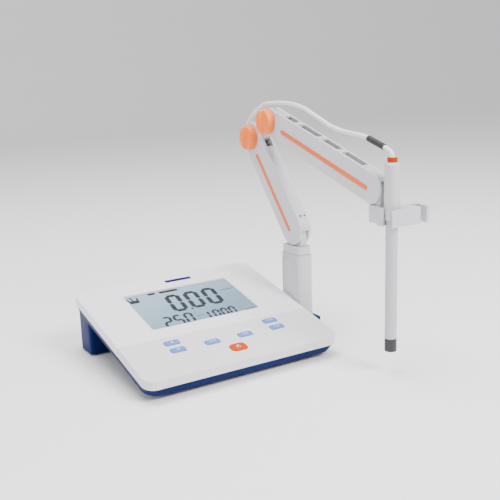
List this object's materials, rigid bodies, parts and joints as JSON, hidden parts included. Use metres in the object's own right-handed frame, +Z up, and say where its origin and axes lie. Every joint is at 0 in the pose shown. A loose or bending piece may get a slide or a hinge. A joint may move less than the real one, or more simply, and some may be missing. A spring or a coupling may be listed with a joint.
{
  "type": "ph meter",
  "caption": "Bench meter with a sloping display console, membrane-style keys and a jointed side arm that holds a leaded probe over a beaker.",
  "frame": {"origin": "middle of the rear leg's rubber foot, on the bench", "axes": "+Z up, +Y from the console's front to its rear, +X to the side that carries the arm"},
  "size_m": [0.2985, 0.3934, 0.2866],
  "materials": {
    "white_plastic": "fine satin texture",
    "blue_plastic": "fine texture",
    "arm_plastic": "satin",
    "arm_cover_plastic": "satin",
    "stripe_orange": "satin",
    "knob_orange": "satin",
    "key_blue": "satin rubber",
    "key_orange": "satin rubber",
    "window": "gloss",
    "display": "backlit grey-blue",
    "rubber_grey": "matt",
    "board_green": "solder mask",
    "steel": "zinc plated",
    "nickel": "bright nickel",
    "black_plastic": "satin",
    "acetal": "natural",
    "electrode_plastic": "satin",
    "lead_jacket": "smooth jacket"
  },
  "bodies": {
    "console": {"bottom_casing": "blue_plastic", "top_cover": "white_plastic", "lcd_window": "window", "lcd_panel": "display", "key_mat": "rubber_grey", "main_board": "board_green", "front_feet": "rubber_grey", "rear_foot": "rubber_grey", "case_screws": "steel", "electrode_socket": "nickel", "probe_socket": "black_plastic", "power_inlet": "black_plastic", "data_socket": "nickel", "arm_bracket": "blue_plastic", "bracket_screws": "steel", "column": "arm_plastic", "swivel_bush": "acetal", "lead_in_column": "lead_jacket", "lead_gland": "black_plastic", "lead_tail": "lead_jacket", "lead_coil": "lead_jacket", "coil_tie": "black_plastic", "lead_riser": "lead_jacket", "lead_plug": "nickel"},
    "turret": {"turret": "arm_plastic", "shoulder_pin": "steel"},
    "lower_arm": {"lower_arm": "arm_plastic", "lower_cover": "arm_cover_plastic", "lower_stripe": "stripe_orange", "arm_screws": "steel", "lower_bolt": "steel", "lead_in_arm": "lead_jacket", "lead_grommet": "black_plastic", "lead_to_grommet": "lead_jacket"},
    "link": {"link": "arm_plastic"},
    "lower_knob": {"lower_knob": "knob_orange"},
    "upper_knob": {"upper_knob": "knob_orange"},
    "upper_arm": {"upper_arm": "arm_plastic", "upper_cover": "arm_cover_plastic", "upper_stripe": "stripe_orange", "upper_bolt": "steel", "wrist_pin": "steel", "lead_over_elbow": "lead_jacket"},
    "holder": {"holder": "arm_plastic", "clip_head": "arm_plastic", "electrode_cap": "electrode_plastic", "electrode_collar": "knob_orange", "lead_relief": "lead_jacket", "electrode_stem": "electrode_plastic", "sensor_tip": "black_plastic", "lead_sleeve": "black_plastic", "lead_over_wrist": "lead_jacket"},
    "up_key": {"up_key": "key_blue"},
    "down_key": {"down_key": "key_blue"},
    "mode_key": {"mode_key": "key_blue"},
    "range_key": {"range_key": "key_blue"},
    "store_key": {"store_key": "key_blue"},
    "read_key": {"read_key": "key_blue"},
    "power_key": {"power_key": "key_orange"}
  },
  "joints": [
    {"name": "turret_swivel", "type": "hinge", "parent": "console", "child": "turret", "pos_m": [0.135, -0.08893, 0.101], "axis": [0, 0, -1], "range_deg": [-90, 35]},
    {"name": "shoulder_hinge", "type": "hinge", "parent": "turret", "child": "lower_arm", "pos_m": [0.135, -0.08893, 0.132], "axis": [-1, 0, 0], "range_deg": [-6, 20]},
    {"name": "lower_elbow", "type": "hinge", "parent": "lower_arm", "child": "link", "pos_m": [0.135, -0.00189, 0.23909], "axis": [-1, 0, 0], "range_deg": [-5, 20], "deforming": ["lead_to_grommet"]},
    {"name": "upper_elbow", "type": "hinge", "parent": "link", "child": "upper_arm", "pos_m": [0.135, -0.04288, 0.26107], "axis": [-1, 0, 0], "range_deg": [-5, 35], "deforming": ["lead_over_elbow", "lead_to_grommet"]},
    {"name": "wrist_hinge", "type": "hinge", "parent": "upper_arm", "child": "holder", "pos_m": [0.135, -0.23722, 0.19904], "axis": [1, 0, 0], "range_deg": [-20, 28], "deforming": ["lead_over_wrist", "lead_sleeve"]},
    {"name": "lower_knob_turn", "type": "hinge", "parent": "lower_arm", "child": "lower_knob", "pos_m": [0.123, -0.00189, 0.23909], "axis": [-1, 0, 0], "range_deg": [-90, 90]},
    {"name": "upper_knob_turn", "type": "hinge", "parent": "upper_arm", "child": "upper_knob", "pos_m": [0.123, -0.04288, 0.26107], "axis": [-1, 0, 0], "range_deg": [-90, 90]},
    {"name": "up_key_press", "type": "slide", "parent": "console", "child": "up_key", "axis": [0, 0.2164, -0.9763], "range_m": [0, 0.0009], "stiffness_N_per_m": 600},
    {"name": "down_key_press", "type": "slide", "parent": "console", "child": "down_key", "axis": [0, 0.2164, -0.9763], "range_m": [0, 0.0009], "stiffness_N_per_m": 600},
    {"name": "mode_key_press", "type": "slide", "parent": "console", "child": "mode_key", "axis": [0, 0.2164, -0.9763], "range_m": [0, 0.0009], "stiffness_N_per_m": 600},
    {"name": "range_key_press", "type": "slide", "parent": "console", "child": "range_key", "axis": [0, 0.2164, -0.9763], "range_m": [0, 0.0009], "stiffness_N_per_m": 600},
    {"name": "store_key_press", "type": "slide", "parent": "console", "child": "store_key", "axis": [0, 0.2164, -0.9763], "range_m": [0, 0.0009], "stiffness_N_per_m": 600},
    {"name": "read_key_press", "type": "slide", "parent": "console", "child": "read_key", "axis": [0, 0.2164, -0.9763], "range_m": [0, 0.0009], "stiffness_N_per_m": 600},
    {"name": "power_key_press", "type": "slide", "parent": "console", "child": "power_key", "axis": [0, 0.2164, -0.9763], "range_m": [0, 0.0009], "stiffness_N_per_m": 600}
  ]
}
